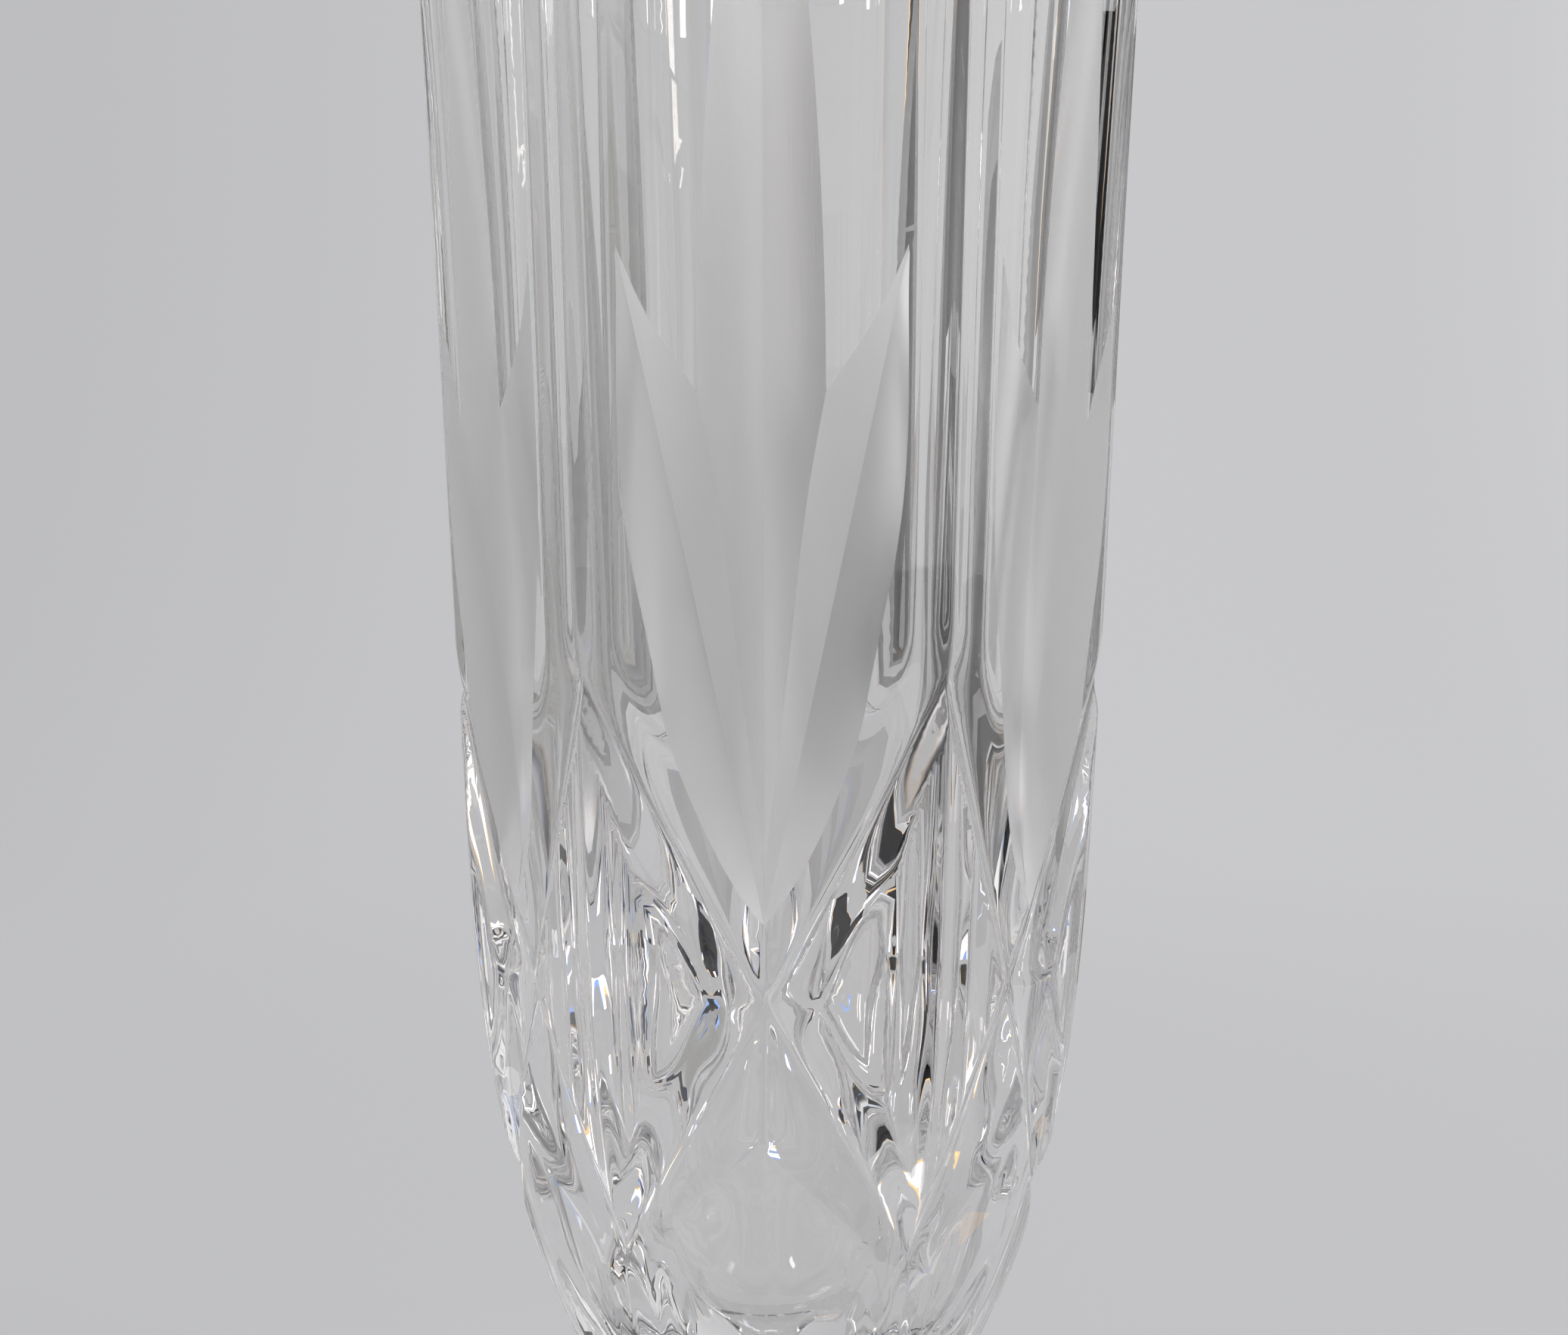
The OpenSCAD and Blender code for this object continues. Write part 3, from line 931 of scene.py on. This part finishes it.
def card(name, turn, rise, distance, mat):
    """A curved card of one plain colour."""
    steps = 12
    verts = [card_point(turn[0] + (turn[1] - turn[0]) * i / steps, e, distance)
             for i in range(steps + 1) for e in rise]
    quads = [(2 * i, 2 * i + 2, 2 * i + 3, 2 * i + 1) for i in range(steps)]
    return sheet(name, verts, quads, mat, seen=False)


def soft_material(name, level):
    """A glowing grey that fades out to nothing where the card's shade is 0; it paints soft shade in
    the glass.
    """
    mat = Nodes(name)
    glow = mat.new("Emission", Color=(level, level, level * 0.98, 1))
    clear = mat.new("BsdfTransparent")
    mix = mat.new("MixShader")
    mat.links.new(mat.attribute("shade", "Fac"), mix.inputs["Fac"])
    mat.links.new(clear.outputs["BSDF"], mix.inputs[1])
    mat.links.new(glow.outputs["Emission"], mix.inputs[2])
    return mat.shader(mix, "Shader")


def soft_card(name, turn, rise, distance, level):
    """A glowing grey card, seen only in the glass, densest in the middle and clear at its edges."""
    steps = 14
    share = [i / steps for i in range(steps + 1)]
    dense = [min(1, 1.9 * math.sin(math.pi * s)) for s in share]
    turns, rises = ([low + (high - low) * s for s in share] for low, high in (turn, rise))
    verts = [card_point(a, e, distance) for a in turns for e in rises]
    row = steps + 1
    quads = [(i * row + j, (i + 1) * row + j, (i + 1) * row + j + 1, i * row + j + 1)
             for i in range(steps) for j in range(steps)]
    obj = sheet(name, verts, quads, soft_material(name + "_look", level), seen=False)
    layer = obj.data.attributes.new("shade", "FLOAT", "POINT")
    layer.data.foreach_set("value", [a * b for a in dense for b in dense])
    return obj


# Painted shade: a black card that glows almost nothing, seen only in the glass, standing in for the
# dark room round the studio.
BLACK = card_material("black_flag", (0.004, 0.004, 0.005))
# Painted light: glowing warm and cool strips at the edges of the flags and glints, which paint
# rainbow fringes in the cuts.
WARM = card_material("warm_edge", (1.3, 0.85, 0.42))
COOL = card_material("cool_edge", (0.38, 0.6, 1.25))
# Painted highlight: a glowing white card, far brighter than the backdrop, that shows only in the
# glass as sparks and bright streaks.
WHITE = card_material("white_card", (2.0, 1.97, 1.93))


def flag(name, turn, rise, distance, fringe=1.3):
    """A dark card, seen only in the glass, that paints a dark streak there as painted shade, with a
    glowing warm and a glowing cool edge that paint the rainbow fringes of cut crystal.
    """
    card(name, turn, rise, distance, BLACK)
    card(name + "_warm", (turn[0] - fringe, turn[0]), rise, distance, WARM)
    card(name + "_cool", (turn[1], turn[1] + fringe), rise, distance, COOL)


def glint(name, turn, rise, distance):
    """A small glowing card, seen only in the glass, that paints a spark in the cuts, between a warm
    and a cool one.
    """
    fringe = (turn[1] - turn[0]) / 4
    card(name + "_warm", (turn[0] - fringe, turn[0]), rise, distance, WARM)
    card(name, turn, rise, distance, WHITE)
    card(name + "_cool", (turn[1], turn[1] + fringe), rise, distance, COOL)


def ceiling_strip(turn):
    card("ceiling_strip_%d" % (turn + 90), (turn - 0.8, turn + 0.8), (19.6, 26), 0.8, WHITE)


# Painted shade: each black flag below darkens one streak or patch of the glass, where the room round
# the studio would be dark.
flag("flag_right", (98, 160), (-38, 2), 0.17)
flag("flag_right_top", (25, 60), (10, 24), 0.55, fringe=0.8)
# Painted shade: soft grey cards, darker than what lies behind them, that darken the glass softly on
# the right and on the left.
soft_card("grey_right", (36, 66), (-9, 13), 0.6, 0.03)
soft_card("grey_left", (-60, -40), (-8, 20), 0.6, 0.36)
for name, turn, rise in (("hook_left", (-90, -76), (-8, 6)), ("hook_right", (74, 88), (-9, 3)),
                         ("patch_left", (-62, -50), (-20, -11)), ("patch_right", (49, 66), (-20, -9)),
                         ("arm_left", (-68, -56), (-8, -3)), ("arm_right", (30, 38), (-23, -11)),
                         ("diamond_right", (44, 54), (-8, -4))):
    flag("flag_" + name, turn, rise, 0.5, fringe=0.6)
flag("flag_left_back", (-150, -138), (-34, 0), 0.3)
flag("flag_camera", (172, 206), (-30, 25), 0.33)
# Painted highlights for sparks in the cuts. left_e and right_d lie low beside the foot as painted
# caustic light on the table, seen only through the glass.
for name, turn, rise, distance in (
        ("left_a", (-46, -41), (-16.5, -12.5), 0.45), ("left_b", (-26, -19), (-37, -32), 0.18),
        ("left_c", (-57, -55.5), (-16, -14.5), 0.45), ("left_d", (-97, -93), (-19, -12), 0.45),
        ("left_e", (-104, -84), (-50, -44), 0.115), ("right_a", (41, 46), (-16.5, -12.5), 0.45),
        ("right_b", (4, 7.5), (-17, -14), 0.45), ("right_c", (26, 28), (-27, -23), 0.26),
        ("right_d", (88, 108), (-54, -49), 0.1), ("right_e", (96, 100), (-14, -8), 0.16),
        ("right_f", (12, 13), (-39.6, -38.6), 0.16)):
    glint("glint_" + name, turn, rise, distance)
# Painted highlights: glowing white strips up towards the ceiling, seen only in the glass, for the
# short bright marks high on the bowl.
for turn in (-66, -30, -9, 7, 26):
    ceiling_strip(turn)


# ---------------------------------------------------------------- lamps
def lamp(name, place, aim_h, size, power, color=(1, 1, 1)):
    """A rectangular lamp that points at the vase's axis at the height aim_h."""
    data = bpy.data.lights.new(name, "AREA")
    data.shape = "RECTANGLE"
    data.size, data.size_y = size
    data.energy = power
    data.color = color
    obj = bpy.data.objects.new(name, data)
    obj.location = place
    aim = Vector((0, 0, aim_h)) - Vector(place)
    obj.rotation_euler = aim.to_track_quat("-Z", "Y").to_euler()
    scene.collection.objects.link(obj)


lamp("overhead", (-0.2, -0.2, 1.3), 0.15, (0.16, 0.16), 2.6)
lamp("side_lamp", (0.9, -0.55, 0.75), 0.12, (0.10, 0.22), 1.1, (1.0, 0.96, 0.9))

# ---------------------------------------------------------------- camera
EYE_DIST, EYE_TURN = 0.270, math.radians(2.2)
EYE_RIGHT = 0.00094
SENSOR_W, LENS = 36.0, 45.017376  # in mm


def make_camera():
    """A level camera, a little to the right of straight in front of the first panel."""
    data = bpy.data.cameras.new("camera")
    data.sensor_width = SENSOR_W
    data.lens = LENS
    data.clip_start = 0.01
    camera = bpy.data.objects.new("camera", data)
    right = Vector((math.cos(EYE_TURN), math.sin(EYE_TURN), 0))
    back = Vector((math.sin(EYE_TURN), -math.cos(EYE_TURN), 0))
    axis = Vector(((BOWL_LO.x + BOWL_HI.x) / 2, (BOWL_LO.y + BOWL_HI.y) / 2, FLOOR_Z + EYE_H))
    camera.location = axis + back * EYE_DIST + right * EYE_RIGHT
    camera.rotation_euler = (-back).to_track_quat("-Z", "Y").to_euler()
    scene.collection.objects.link(camera)
    return camera


scene.camera = make_camera()

# ---------------------------------------------------------------- light paths and colours
scene.view_settings.view_transform = "Standard"
scene.view_settings.look = "None"
scene.cycles.max_bounces = 24
scene.cycles.transmission_bounces = 24
scene.cycles.glossy_bounces = 12
scene.cycles.diffuse_bounces = 2
scene.cycles.transparent_max_bounces = 16
scene.cycles.caustics_reflective = True
scene.cycles.caustics_refractive = True
scene.cycles.use_denoising = True
